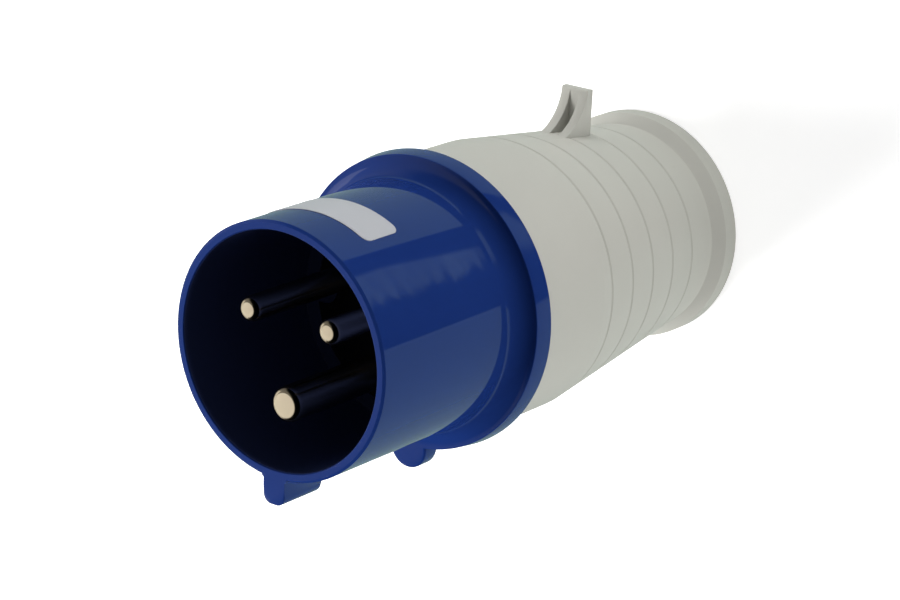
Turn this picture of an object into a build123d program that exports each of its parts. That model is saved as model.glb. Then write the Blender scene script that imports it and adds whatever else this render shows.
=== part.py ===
from build123d import *
from math import atan2, cos, degrees, radians, sin, sqrt, tan
import os

# A round pin-and-sleeve cable plug for 16 A with two poles and earth, standing on its flared end.
# The plug's axis is Z, z = 0 is the rear end and the pins point up. The key, the ear and the earth pin
# are on the +Y side, and the catch tab and the label on the -Y side. All sizes are in millimetres.

# Lengths along the axis
handle_length = 75.0
flange_width = 4.1
shroud_reach = 40.9
cavity_depth = 36.0

# Shroud, flange, key and ear
shroud_radius = 25.0
shroud_wall = 1.9
rim_chamfer = 0.45
edge_round = 0.25
cove_radius = 4.0
flange_land = 0.4
flange_draft = 0.5
key_width = 5.1
key_rise = 5.1
key_length = 11.5
key_round = 1.9
key_end_round = 1.0
key_root_round = 0.5
ear_radius = 4.3
ear_rise = 4.2
ear_round = 0.5

# How far an added form runs into the wall that carries it
root = 0.8

# Spigot and bayonet between the two halves
spigot_length = 13.0
spigot_radius = 23.9
spigot_wall = 1.7
slide_gap = 0.2
bayonet_count = 3
bayonet_angle = 24.0
bayonet_height = 1.5
bayonet_thickness = 2.9
bayonet_play = 0.3
mouth_lip = 3.5

# Seal between flange and handle
seal_width = 1.8
seal_thickness = 1.3
seal_offset = 0.7

# Handle
mouth_wall = 3.9
handle_wall = 2.2
straight_length = 20.5
taper_angle = 6.87
flare_height = 2.4
lip_radius = 24.2
lip_thickness = 4.3
lip_round = 0.7
groove_count = 5
groove_pitch = 8.79
groove_start = 3.4
groove_width = 0.7
groove_depth = 0.4
recess_depth = 9.0
recess_draft = 1.3
end_wall = 3.0
sleeve_height = 10.0

# Catch tab
tab_width = 6.4
tab_rise = 6.1
tab_back = 26.0
tab_plate = 1.9
tab_rib = 2.1
tab_foot = 9.2
tab_land = 0.6
tab_sag = 2.1
tab_round = 0.4

# Contact carrier and retainer
ledge_width = 3.1
ledge_thickness = 2.4
carrier_thickness = 8.0
retainer_thickness = 2.4
retainer_margin = 0.5
boss_radius = 3.0
boss_offset = 18.2
boss_skin = 2.0
pilot_depth = 5.4
carrier_flange = 3.0

# Contact pins and terminals
key_angle = 90.0
contact_angle = 120.0
pin_circle = 11.0
live_radius = 2.5
earth_radius = 3.5
tip_setback = 2.4
tip_round = 1.3
pin_seat = 0.3
pin_gap = 0.1
collar_step = 0.9
collar_height = 3.4
live_barrel = 4.0
earth_barrel = 4.6
barrel_length = 16.0
wire_radius = 2.0
wire_depth = 11.0
sleeve_wall = 1.4
sleeve_short = 1.5
terminal_screw_inset = 5.0
terminal_screw_out = 1.0

# Screws and nuts
screw_gap = 0.05
clear_gap = 0.25
terminal_thread = 1.7
carrier_thread = 1.4
clamp_thread = 1.5
head_ratio = 1.7
head_height = 1.9
head_round = 0.5
slot_width = 0.7
slot_depth = 0.9
nut_width = 5.5
nut_thickness = 2.2

# Cord clamp
arm_width = 6.0
arm_thickness = 3.0
arm_x = 13.5
arm_y = 4.5
clamp_drop = 35.2
clamp_height = 10.0
clamp_depth = 9.5
clamp_parting = 1.0
cord_radius = 6.5
clamp_screw_x = 11.5
screw_end = 0.5

# Cable grommet and gland ring
grommet_bore = 5.5
grommet_radius = 15.8
grommet_height = 7.0
grommet_nose = 11.2
nose_tip = 8.4
nose_length = 7.0
nose_rings = 3
nose_ring = 0.35
gland_bore = 8.0
gland_height = 3.0
gland_notch = 3.0
gland_notch_depth = 1.2

# Label
label_length = 24.4
label_width = 9.8
label_corner = 1.6
label_thickness = 0.12
label_from_rim = 9.6

# Levels and radii that follow from the sizes above
joint_z = handle_length
flange_z = joint_z + flange_width
rim_z = flange_z + shroud_reach
floor_z = rim_z - cavity_depth
ledge_z = floor_z - ledge_thickness
carrier_z = ledge_z - carrier_thickness
retainer_z = carrier_z - retainer_thickness
barrel_z = carrier_z - barrel_length
spigot_z = joint_z - spigot_length
cavity_radius = shroud_radius - shroud_wall
cove_edge = shroud_radius + cove_radius
flange_radius = cove_edge + flange_land + flange_draft
key_reach = shroud_radius + key_rise
ear_reach = flange_radius + ear_rise
ledge_radius = cavity_radius - ledge_width
mouth_radius = spigot_radius + slide_gap
handle_radius = mouth_radius + mouth_wall
tab_reach = handle_radius + tab_rise
carrier_bore = spigot_radius - spigot_wall
taper = tan(radians(taper_angle))
straight_z = joint_z - straight_length
flare_z = lip_thickness + flare_height
end_wall_z = recess_depth + end_wall
sleeve_radius = grommet_radius + slide_gap


def turned(points):
    # A ring or disc: the outline, as (radius, z) points, turned round the plug's axis.
    return revolve(Plane.XZ * make_face(Polyline(*points, close=True)), Axis.Z)


def rod(radius, low, high, x=0.0, y=0.0):
    # An upright cylinder between two levels.
    return Pos(x, y, low) * Cylinder(radius, high - low, align=(Align.CENTER, Align.CENTER, Align.MIN))


def block(low, high):
    # A box between two corners.
    size = [b - a for a, b in zip(low, high)]
    return Pos(*low) * Box(*size, align=(Align.MIN, Align.MIN, Align.MIN))


def sector(inner, outer, low, high, middle, angle):
    # A stretch of a ring, centred on the direction named middle, in degrees.
    start = middle - angle / 2
    reach = 2 * outer
    corners = [(0, 0)]
    for step in range(3):
        turn = radians(start + step * angle / 2)
        corners.append((reach * cos(turn), reach * sin(turn)))
    wedge = Pos(0, 0, low) * extrude(make_face(Polyline(*corners, close=True)), high - low)
    return (rod(outer, low, high) - rod(inner, low, high)) & wedge


def softened(face, corners, radius):
    # Rounds the corners of a flat outline that lie nearest to the given points.
    nearest = [face.vertices().sort_by_distance((x, y, 0))[0] for x, y in corners]
    return fillet(nearest, radius)


def grip_radius(z):
    # The handle's outer radius on its taper.
    return handle_radius - taper * (straight_z - z)


# Each contact: its name, direction in degrees, pin radius and barrel radius
contacts = [
    ("line", key_angle - contact_angle, live_radius, live_barrel),
    ("neutral", key_angle + contact_angle, live_radius, live_barrel),
    ("earth", key_angle, earth_radius, earth_barrel),
]


def contact_place(direction):
    turn = radians(direction)
    return pin_circle * cos(turn), pin_circle * sin(turn)


def key_ridge():
    # The ridge under the rim, with a rounded bottom, a rounded rear end and a small fillet at its root.
    half = key_width / 2
    low = rim_z - key_length
    outline = make_face(Polyline((-half, 0), (half, 0), (half, key_reach), (-half, key_reach), close=True))
    outline = fillet(outline.vertices().group_by(Axis.Y)[-1], key_round)
    ridge = Pos(0, 0, low) * extrude(outline, key_length)
    lower_end = ridge.faces().sort_by(Axis.Z)[0].edges().sort_by(Axis.Y)[-1]
    ridge = fillet(lower_end, key_end_round)
    centre_x = half + key_root_round
    centre_y = sqrt((shroud_radius + key_root_round) ** 2 - centre_x ** 2)
    foot_x = centre_x * shroud_radius / (shroud_radius + key_root_round)
    foot = make_face(Polyline((-foot_x, 0), (foot_x, 0), (foot_x, centre_y), (-foot_x, centre_y), close=True))
    ridge += Pos(0, 0, low) * extrude(foot, key_length)
    for x in (-centre_x, centre_x):
        ridge -= rod(key_root_round, low, rim_z, x, centre_y)
    return ridge - rod(shroud_radius - root, low, rim_z)


def ear():
    # The round ear on the flange's edge, in line with the key.
    disc = rod(ear_radius, joint_z, flange_z, 0, ear_reach - ear_radius)
    disc = fillet(disc.edges().filter_by(GeomType.CIRCLE), ear_round)
    return disc - rod(flange_radius - flange_draft - root, joint_z, flange_z)


def carrier_boss(side, grow=0.0):
    # A blind post on the shroud's ledge, joined to the spigot's wall, for a carrier screw.
    x = side * boss_offset
    post = rod(boss_radius + grow, carrier_z + carrier_flange, floor_z, x)
    near = min(x, side * (carrier_bore + root))
    far = max(x, side * (carrier_bore + root))
    half = boss_radius + grow
    web = block((near, -half, carrier_z + carrier_flange), (far, half, floor_z))
    return post + web


def front_housing():
    land = flange_radius - flange_draft
    cove_z = flange_z + cove_radius
    edges = [
        Line((carrier_bore, spigot_z), (spigot_radius, spigot_z)),
        Line((spigot_radius, spigot_z), (spigot_radius, joint_z)),
        Line((spigot_radius, joint_z), (flange_radius, joint_z)),
        Line((flange_radius, joint_z), (land, flange_z)),
        Line((land, flange_z), (cove_edge, flange_z)),
        CenterArc((cove_edge, cove_z), cove_radius, 270, -90),
        Line((shroud_radius, cove_z), (shroud_radius, rim_z - rim_chamfer)),
        Line((shroud_radius, rim_z - rim_chamfer), (shroud_radius - rim_chamfer, rim_z)),
        Line((shroud_radius - rim_chamfer, rim_z), (cavity_radius + rim_chamfer / 2, rim_z)),
        Line((cavity_radius + rim_chamfer / 2, rim_z), (cavity_radius, rim_z - rim_chamfer)),
        Line((cavity_radius, rim_z - rim_chamfer), (cavity_radius, floor_z)),
        Line((cavity_radius, floor_z), (ledge_radius, floor_z)),
        Line((ledge_radius, floor_z), (ledge_radius, ledge_z)),
        Line((ledge_radius, ledge_z), (carrier_bore, ledge_z)),
        Line((carrier_bore, ledge_z), (carrier_bore, spigot_z)),
    ]
    outline = softened(make_face(Curve() + edges), [(flange_radius, joint_z), (land, flange_z)], edge_round)
    shell = revolve(Plane.XZ * outline, Axis.Z)
    shell += key_ridge()
    shell += ear()
    stud_top = joint_z - mouth_lip - bayonet_play
    for step in range(bayonet_count):
        middle = key_angle + step * 360 / bayonet_count
        outer = spigot_radius + bayonet_height
        inner = spigot_radius - root
        shell += sector(inner, outer, stud_top - bayonet_thickness, stud_top, middle, bayonet_angle)
    for side in (-1, 1):
        shell += carrier_boss(side)
        x = side * boss_offset
        shell -= rod(carrier_thread + screw_gap, carrier_z, floor_z - boss_skin, x)
    seal_radius = mouth_radius + seal_offset
    groove = rod(seal_radius + seal_width, joint_z, joint_z + seal_thickness)
    groove -= rod(seal_radius, joint_z, joint_z + seal_thickness)
    return shell - groove


def housing_seal():
    inner = mouth_radius + seal_offset
    outer = inner + seal_width
    top = joint_z + seal_thickness
    return turned([(inner, joint_z), (outer, joint_z), (outer, top), (inner, top)])


def catch_tab():
    # An upright plate on two ribs whose front edges sweep down to the grip, with the hollow left between.
    front = tab_back + tab_plate
    foot_z = front + tab_foot
    foot_y = grip_radius(foot_z) - root
    top_y = tab_reach
    root_y = grip_radius(tab_back) - root
    half = tab_width / 2
    plate = block((-half, -top_y, tab_back), (half, -root_y, front))
    plate = fillet(plate.edges().filter_by(Axis.X).group_by(Axis.Y)[0], tab_round)
    start = (-(top_y - tab_land), front)
    end = (-foot_y, foot_z)
    sweep = SagittaArc(start, end, -tab_sag)
    corner = (-root_y, front)
    side = make_face(Curve() + [sweep, Line(end, corner), Line(corner, start)])
    tab = plate
    for left in (-half, half - tab_rib):
        rib = extrude(Plane((left, 0, 0), x_dir=(0, 1, 0), z_dir=(1, 0, 0)) * side, tab_rib)
        tab += rib
    return tab


def handle():
    recess_low = lip_radius - handle_wall
    recess_high = recess_low - recess_draft
    wall_line = (straight_z, handle_radius - handle_wall)
    cone_low = grip_radius(end_wall_z) - handle_wall
    throat = grommet_nose + slide_gap
    sleeve_z = end_wall_z + sleeve_height
    sleeve_outer = sleeve_radius + handle_wall
    flare_r = grip_radius(flare_z)
    edges = [
        Line((recess_low, 0), (lip_radius - lip_round, 0)),
        CenterArc((lip_radius - lip_round, lip_round), lip_round, 270, 90),
        Line((lip_radius, lip_round), (lip_radius, lip_thickness)),
        Line((lip_radius, lip_thickness), (flare_r, flare_z)),
        Line((flare_r, flare_z), (handle_radius, straight_z)),
        Line((handle_radius, straight_z), (handle_radius, joint_z)),
        Line((handle_radius, joint_z), (mouth_radius, joint_z)),
        Line((mouth_radius, joint_z), (mouth_radius, joint_z - mouth_lip)),
        Line((mouth_radius, joint_z - mouth_lip), (wall_line[1], joint_z - mouth_lip)),
        Line((wall_line[1], joint_z - mouth_lip), (wall_line[1], straight_z)),
        Line((wall_line[1], straight_z), (cone_low, end_wall_z)),
        Line((cone_low, end_wall_z), (sleeve_outer, end_wall_z)),
        Line((sleeve_outer, end_wall_z), (sleeve_outer, sleeve_z)),
        Line((sleeve_outer, sleeve_z), (sleeve_radius, sleeve_z)),
        Line((sleeve_radius, sleeve_z), (sleeve_radius, end_wall_z)),
        Line((sleeve_radius, end_wall_z), (throat, end_wall_z)),
        Line((throat, end_wall_z), (throat, recess_depth)),
        Line((throat, recess_depth), (recess_high, recess_depth)),
        Line((recess_high, recess_depth), (recess_low, 0)),
    ]
    corners = [(handle_radius, joint_z), (mouth_radius, joint_z), (recess_low, 0)]
    grip = revolve(Plane.XZ * softened(make_face(Curve() + edges), corners, edge_round), Axis.Z)
    for step in range(groove_count):
        middle = straight_z - groove_start - step * groove_pitch
        radius = grip_radius(middle)
        low = (radius + groove_depth, middle - groove_width)
        high = (radius + groove_depth, middle + groove_width)
        grip -= turned([low, (radius - groove_depth, middle), high])
    grip += catch_tab()
    for step in range(bayonet_count):
        middle = key_angle + (step + 0.5) * 360 / bayonet_count
        outer = spigot_radius + bayonet_height + slide_gap
        gap = bayonet_angle + 2 * degrees(atan2(bayonet_play, mouth_radius))
        grip -= sector(mouth_radius - slide_gap, outer, joint_z - mouth_lip, joint_z, middle, gap)
    return grip


def contact_carrier():
    body = rod(carrier_bore - slide_gap, carrier_z, ledge_z)
    body += rod(ledge_radius - slide_gap, ledge_z, floor_z)
    for side in (-1, 1):
        body -= carrier_boss(side, clear_gap)
        body -= rod(carrier_thread + clear_gap, carrier_z, floor_z, side * boss_offset)
    for _, direction, pin_radius, barrel in contacts:
        x, y = contact_place(direction)
        body -= rod(pin_radius + pin_seat + pin_gap, carrier_z, floor_z, x, y)
        pocket = barrel + collar_step + pin_gap
        body -= rod(pocket, carrier_z, carrier_z + collar_height, x, y)
    return body


def clamp_base():
    # Two arms down from the retainer, joined by a bridge with a half-round seat for the cord.
    top = retainer_z
    low = retainer_z - clamp_drop
    high = low + clamp_height
    outer = arm_x + arm_thickness
    bridge = block((-outer, clamp_parting, low), (outer, arm_y + arm_width, high))
    for side in (-1, 1):
        near = min(side * arm_x, side * outer)
        bridge += block((near, arm_y, low), (near + arm_thickness, arm_y + arm_width, top))
    bridge -= rod(cord_radius, low, high)
    middle = (low + high) / 2
    for side in (-1, 1):
        bore = Pos(side * clamp_screw_x, 0, middle) * Rot(-90, 0, 0)
        bridge -= bore * Cylinder(clamp_thread + clear_gap, 2 * (arm_y + arm_width))
        half = nut_width / 2 + clear_gap
        pocket_y = arm_y + arm_width - nut_thickness
        x = side * clamp_screw_x
        bridge -= block((x - half, pocket_y, middle - half), (x + half, arm_y + arm_width, middle + half))
    return bridge


def contact_retainer():
    plate = rod(carrier_bore - retainer_margin, retainer_z, carrier_z)
    for _, direction, _, barrel in contacts:
        x, y = contact_place(direction)
        plate += rod(barrel + pin_gap + sleeve_wall, barrel_z + sleeve_short, retainer_z, x, y)
    plate += clamp_base()
    for _, direction, _, barrel in contacts:
        x, y = contact_place(direction)
        plate -= rod(barrel + pin_gap, barrel_z, carrier_z, x, y)
        slot_half = terminal_thread * head_ratio + clear_gap
        slot_z = barrel_z + terminal_screw_inset + slot_half
        slot = block((0, -slot_half, barrel_z), (cavity_radius, slot_half, slot_z))
        plate -= Pos(x, y, 0) * Rot(0, 0, direction) * slot
    for side in (-1, 1):
        plate -= rod(carrier_thread + clear_gap, retainer_z, carrier_z, side * boss_offset)
    return plate


def contact_pin(direction, pin_radius, barrel):
    # One turned piece: a round-tipped pin, a thicker seat and a collar in the carrier, a barrel for the wire.
    tip_z = rim_z - tip_setback
    seat = pin_radius + pin_seat
    collar = barrel + collar_step
    collar_z = carrier_z + collar_height
    edges = [
        Line((0, barrel_z), (barrel, barrel_z)),
        Line((barrel, barrel_z), (barrel, carrier_z)),
        Line((barrel, carrier_z), (collar, carrier_z)),
        Line((collar, carrier_z), (collar, collar_z)),
        Line((collar, collar_z), (seat, collar_z)),
        Line((seat, collar_z), (seat, floor_z)),
        Line((seat, floor_z), (pin_radius, floor_z)),
        Line((pin_radius, floor_z), (pin_radius, tip_z - tip_round)),
        CenterArc((pin_radius - tip_round, tip_z - tip_round), tip_round, 0, 90),
        Line((pin_radius - tip_round, tip_z), (0, tip_z)),
        Line((0, tip_z), (0, barrel_z)),
    ]
    pin = revolve(Plane.XZ * make_face(Curve() + edges), Axis.Z)
    pin -= rod(wire_radius, barrel_z, barrel_z + wire_depth)
    thread = Pos(0, 0, barrel_z + terminal_screw_inset) * Rot(0, 90, 0)
    hole = Cylinder(terminal_thread + screw_gap, barrel * 2, align=(Align.CENTER, Align.CENTER, Align.MIN))
    pin -= thread * hole
    x, y = contact_place(direction)
    return Pos(x, y, 0) * Rot(0, 0, direction) * pin


def slotted_screw(thread, length):
    # A plain screw that points up from its head, whose top face is at the bottom.
    screw = rod(thread, 0, length)
    head = rod(thread * head_ratio, -head_height, 0)
    head = fillet(head.edges().filter_by(GeomType.CIRCLE).sort_by(Axis.Z)[0], head_round)
    reach = 2 * thread * head_ratio
    slot = Pos(0, 0, slot_depth / 2 - head_height) * Box(reach, slot_width, slot_depth)
    return screw + head - slot


def terminal_screw(direction, barrel):
    # Its head stands off the barrel, as on a terminal that is still open.
    length = barrel + terminal_screw_out - wire_radius / 2
    screw = Pos(barrel + terminal_screw_out, 0, 0) * Rot(0, -90, 0) * slotted_screw(terminal_thread, length)
    x, y = contact_place(direction)
    return Pos(x, y, barrel_z + terminal_screw_inset) * Rot(0, 0, direction) * screw


def carrier_screw(side):
    length = retainer_thickness + carrier_flange + pilot_depth
    return Pos(side * boss_offset, 0, retainer_z) * slotted_screw(carrier_thread, length)


def clamp_place(side, y):
    return Pos(side * clamp_screw_x, y, retainer_z - clamp_drop + clamp_height / 2)


def clamp_strap():
    low = retainer_z - clamp_drop
    high = low + clamp_height
    outer = arm_x + arm_thickness
    strap = block((-outer, -clamp_depth, low), (outer, -clamp_parting, high))
    strap = fillet(strap.edges().filter_by(Axis.Z).group_by(Axis.Y)[0], arm_thickness)
    strap -= rod(cord_radius, low, high)
    for side in (-1, 1):
        hole = Cylinder(clamp_thread + clear_gap, 2 * clamp_depth)
        strap -= clamp_place(side, -clamp_depth) * Rot(-90, 0, 0) * hole
    return strap


def clamp_screw(side):
    length = clamp_depth + arm_y + arm_width - screw_end
    return clamp_place(side, -clamp_depth) * Rot(-90, 0, 0) * slotted_screw(clamp_thread, length)


def clamp_nut(side):
    nut = Box(nut_width, nut_width, nut_thickness) - Cylinder(clamp_thread + screw_gap, nut_thickness)
    middle = arm_y + arm_width - nut_thickness / 2
    return clamp_place(side, middle) * Rot(-90, 0, 0) * nut


def cable_grommet():
    # A sealing ring with a tapered nose, whose shallow rings show where it is cut to suit the cable.
    top = end_wall_z + grommet_height
    tip = end_wall_z - nose_length
    slope = (grommet_nose - nose_tip) / (recess_depth - tip)
    rings = []
    for step in range(nose_rings):
        z = tip + (step + 1) * (recess_depth - tip) / (nose_rings + 1)
        across = nose_tip + slope * (z - tip)
        rings.append((across - nose_ring * slope, z - nose_ring))
        rings.append((across - nose_ring, z))
        rings.append((across + nose_ring * slope, z + nose_ring))
    return turned([
        (grommet_bore, tip),
        (nose_tip, tip),
        *rings,
        (grommet_nose, recess_depth),
        (grommet_nose, end_wall_z),
        (grommet_radius, end_wall_z),
        (grommet_radius, top),
        (grommet_bore, top),
    ])


def gland_ring():
    low = end_wall_z + grommet_height
    high = low + gland_height
    ring = rod(grommet_radius, low, high) - rod(gland_bore, low, high)
    notch = block((-grommet_radius, -gland_notch / 2, high - gland_notch_depth),
                  (grommet_radius, gland_notch / 2, high))
    return ring - notch - Rot(0, 0, 90) * notch


def rating_label():
    # A thin bare sticker wrapped over the top of the shroud.
    low = rim_z - label_from_rim - label_width
    skin = rod(shroud_radius + label_thickness, low, low + label_width)
    skin -= rod(shroud_radius, low, low + label_width)
    face = Pos(0, low + label_width / 2) * RectangleRounded(label_length, label_width, label_corner)
    window = extrude(Plane.XZ * face, 2 * shroud_radius)
    return skin & window


nodes = {
    "front_housing": front_housing(),
    "housing_seal": housing_seal(),
    "handle": handle(),
    "contact_carrier": contact_carrier(),
    "contact_retainer": contact_retainer(),
    "clamp_strap": clamp_strap(),
    "cable_grommet": cable_grommet(),
    "gland_ring": gland_ring(),
    "rating_label": rating_label(),
}
for name, direction, pin_radius, barrel in contacts:
    nodes[name + "_pin"] = contact_pin(direction, pin_radius, barrel)
    nodes[name + "_terminal_screw"] = terminal_screw(direction, barrel)
for name, side in (("left", -1), ("right", 1)):
    nodes["carrier_screw_" + name] = carrier_screw(side)
    nodes["clamp_screw_" + name] = clamp_screw(side)
    nodes["clamp_nut_" + name] = clamp_nut(side)

os.makedirs("parts", exist_ok=True)
for name, solid in nodes.items():
    export_step(solid, f"parts/{name}.step")
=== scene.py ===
from math import atan2, cos, hypot, pi, radians, sin, sqrt, tan

import bmesh
import bpy
from bpy.props import FloatProperty, FloatVectorProperty, IntProperty, PointerProperty
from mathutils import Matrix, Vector


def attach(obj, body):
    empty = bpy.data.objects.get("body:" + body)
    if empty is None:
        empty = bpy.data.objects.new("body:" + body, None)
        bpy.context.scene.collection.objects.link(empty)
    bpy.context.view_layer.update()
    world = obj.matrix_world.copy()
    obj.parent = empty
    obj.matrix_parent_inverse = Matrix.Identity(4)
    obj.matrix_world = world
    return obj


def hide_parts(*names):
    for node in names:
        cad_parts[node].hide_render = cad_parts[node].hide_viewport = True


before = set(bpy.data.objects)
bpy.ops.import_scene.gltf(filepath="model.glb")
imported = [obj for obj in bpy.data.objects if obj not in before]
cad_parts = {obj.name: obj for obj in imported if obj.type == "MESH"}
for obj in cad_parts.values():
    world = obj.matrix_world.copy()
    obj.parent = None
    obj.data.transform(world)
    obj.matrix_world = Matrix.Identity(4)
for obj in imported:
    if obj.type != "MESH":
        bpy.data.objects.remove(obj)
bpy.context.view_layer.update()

bl_info = {
    "name": "Pin-and-sleeve plug",
    "version": (1, 0, 0),
    "blender": (4, 5, 0),
    "location": "3D View > Sidebar > Plug",
    "description": "Builds the looks of a round pin-and-sleeve cable plug round its packed frame",
    "category": "Object",
}

MM = 0.001
# Vertices nearer than WELD are merged. HAIR and CLEAR are small distances to compare or offset places by.
WELD = MM / 500
HAIR = MM / 100
CLEAR = MM / 10
# Steps of a full turn of a large round piece.
TURN_STEPS = 192
WHITE = (1.0, 1.0, 1.0, 1.0)
BLACK = (0.0, 0.0, 0.0, 1.0)


def size(name, text, mm):
    return FloatProperty(name=name, description=text, default=mm * MM, min=0.0, unit="LENGTH",
                         subtype="DISTANCE")


def turn(name, text, degrees):
    return FloatProperty(name=name, description=text, default=radians(degrees), unit="ROTATION",
                         subtype="ANGLE")


def amount(name, text, value):
    return FloatProperty(name=name, description=text, default=value)


def share(name, text, value):
    return FloatProperty(name=name, description=text, default=value, min=0.0, max=1.0, subtype="FACTOR")


def colour(name, text, value):
    return FloatVectorProperty(name=name, description=text, default=value, size=3, min=0.0, max=1.0,
                               subtype="COLOR")


def power(name, text, value):
    return FloatProperty(name=name, description=text, default=value, min=0.0, unit="POWER")


def spot(name, text, metres):
    return FloatVectorProperty(name=name, description=text, default=metres, size=2, unit="LENGTH",
                               precision=6)


def place(name, text, metres):
    return FloatVectorProperty(name=name, description=text, default=metres, size=3, unit="LENGTH",
                               subtype="TRANSLATION", precision=6)


class PlugLevels(bpy.types.PropertyGroup):
    """Heights above the floor that more than one piece uses"""
    joint: size("Joint", "Where the front housing meets the handle", 75.0)
    flange_front: size("Flange front", "Front face of the flange", 79.1)
    cavity_floor: size("Cavity floor", "Front face of the contact carrier", 84.0)
    rim: size("Rim", "Front face of the shroud", 120.0)


class ShellSizes(bpy.types.PropertyGroup):
    """The blue front housing"""
    radius: size("Shroud radius", "Outside of the shroud", 25.0)
    wall: size("Wall", "Thickness of the shroud", 1.9)
    rim_chamfer: size("Rim chamfer", "Chamfer round the rim", 0.45)
    edge_round: size("Edge round", "Small round on the moulded edges", 0.22)
    cove: size("Cove", "Radius of the cove between shroud and flange", 4.0)
    flange_radius: size("Flange radius", "Largest radius of the flange", 29.9)
    flange_draft: size("Flange draft", "How much smaller the flange is at its front", 0.5)
    spigot_radius: size("Spigot radius", "Part that slides into the handle", 23.9)
    spigot_bore: size("Spigot bore", "Inside of the spigot", 22.2)
    spigot_low: size("Spigot end", "Lower end of the spigot", 62.0)
    ledge_radius: size("Ledge bore", "Opening that the contact carrier fills", 20.0)
    ledge: size("Ledge", "Thickness of the ledge", 2.4)
    seal_inner: size("Seal groove inside", "Inner radius of the seal's groove", 24.8)
    seal_outer: size("Seal groove outside", "Outer radius of the seal's groove", 26.6)
    seal_depth: size("Seal groove depth", "Depth of the seal's groove", 1.3)
    key_width: size("Key width", "Width of the key ridge", 5.1)
    key_reach: size("Key reach", "From the axis to the key's outer face", 30.1)
    key_length: size("Key length", "Length of the key below the rim", 11.5)
    key_round: size("Key round", "Rounding of the key's outer corners", 1.9)
    key_end: size("Key end round", "Rounding of the key's rear end", 1.0)
    key_root: size("Key root", "Fillet between key and shroud", 0.5)
    ear_radius: size("Ear radius", "Radius of the ear on the flange", 4.3)
    ear_reach: size("Ear reach", "From the axis to the ear's tip", 34.1)
    ear_round: size("Ear round", "Rounding of the ear's edges", 0.5)
    boss_radius: size("Boss radius", "Posts that take the carrier's screws", 3.0)
    boss_offset: size("Boss offset", "From the axis to each post", 18.2)
    boss_low: size("Boss end", "Lower end of the posts", 76.6)


class GripSizes(bpy.types.PropertyGroup):
    """The grey handle with its catch tab"""
    radius: size("Handle radius", "Outside of the straight part", 28.0)
    wall: size("Wall", "Thickness of the handle's wall", 2.2)
    edge_round: size("Edge round", "Small round on the moulded edges", 0.2)
    straight_low: size("Straight end", "Height where the taper starts", 54.5)
    straight_round: size("Taper round", "Rounding where the taper starts", 2.0)
    taper: turn("Taper", "Slope of the tapered part", 6.87)
    flare_top: size("Flare top", "Height where the flare starts", 6.7)
    lip_radius: size("Lip radius", "Outside of the lip at the rear end", 24.2)
    lip_thickness: size("Lip thickness", "Height of the lip", 4.3)
    lip_round: size("Lip round", "Rounding of the lip's lower edge", 0.7)
    mouth_radius: size("Mouth radius", "Opening that takes the spigot", 24.1)
    mouth_lip: size("Mouth lip", "Thickness of the collar in the mouth", 3.5)
    recess_depth: size("Recess depth", "Hollow in the rear end", 9.0)
    recess_draft: size("Recess draft", "Taper of the hollow", 1.3)
    end_wall: size("End wall", "Thickness of the wall at the cable entry", 3.0)
    sleeve_inner: size("Sleeve bore", "Bore round the cable grommet", 16.0)
    sleeve_height: size("Sleeve height", "Height of the sleeve above the end wall", 10.0)
    throat: size("Throat", "Opening round the grommet's nose", 11.4)
    groove_first: size("First groove", "Distance from the taper's start to the first groove", 3.4)
    groove_pitch: size("Groove pitch", "Distance between grooves", 8.79)
    groove_half: size("Groove half width", "Half the width of a groove", 0.38)
    groove_depth: size("Groove depth", "Depth of a groove", 0.4)
    grooves: IntProperty(name="Grooves", description="Number of grip grooves", default=5, min=0)
    tab_width: size("Tab width", "Width of the catch tab", 6.4)
    tab_reach: size("Tab reach", "From the axis to the tab's tip", 34.1)
    tab_back: size("Tab back", "Height of the plate's rear face", 26.0)
    tab_plate: size("Tab plate", "Thickness of the upright plate", 1.9)
    tab_rib: size("Tab rib", "Thickness of each curved rib", 2.1)
    tab_foot: size("Tab foot", "Length of the ribs along the handle", 9.2)
    tab_land: size("Tab land", "Step between the ribs and the tip", 0.6)
    tab_sag: size("Tab hollow", "How far the ribs' edges are hollowed", 2.1)
    tab_round: size("Tab round", "Rounding of the tab's edges", 0.4)
    root: size("Root", "How far the tab runs into the handle's wall", 0.8)


class PinSizes(bpy.types.PropertyGroup):
    """The three contact pins"""
    circle: size("Pin circle", "Radius of the circle that the pins stand on", 11.0)
    live_radius: size("Live pin radius", "Radius of the two thinner pins", 2.5)
    earth_radius: size("Earth pin radius", "Radius of the thicker pin", 3.5)
    live_barrel: size("Live barrel radius", "Terminal end of the thinner pins", 4.0)
    earth_barrel: size("Earth barrel radius", "Terminal end of the thicker pin", 4.6)
    tip: size("Tip", "Height of the pins' tips", 117.6)
    tip_round: size("Tip round", "Rounding of the tips", 1.3)
    edge_round: size("Edge round", "Small round on the turned edges", 0.13)
    seat: size("Seat", "How much thicker the pins are in the carrier", 0.3)
    collar: size("Collar", "Step of the collar in the carrier", 0.9)
    collar_low: size("Collar low", "Lower face of the collar", 73.6)
    collar_high: size("Collar high", "Upper face of the collar", 77.0)
    barrel_low: size("Barrel end", "Lower end of the terminals", 57.6)
    wire_radius: size("Wire hole", "Radius of the hole for the wire", 2.0)
    wire_depth: size("Wire hole depth", "Depth of the hole for the wire", 11.0)


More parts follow.
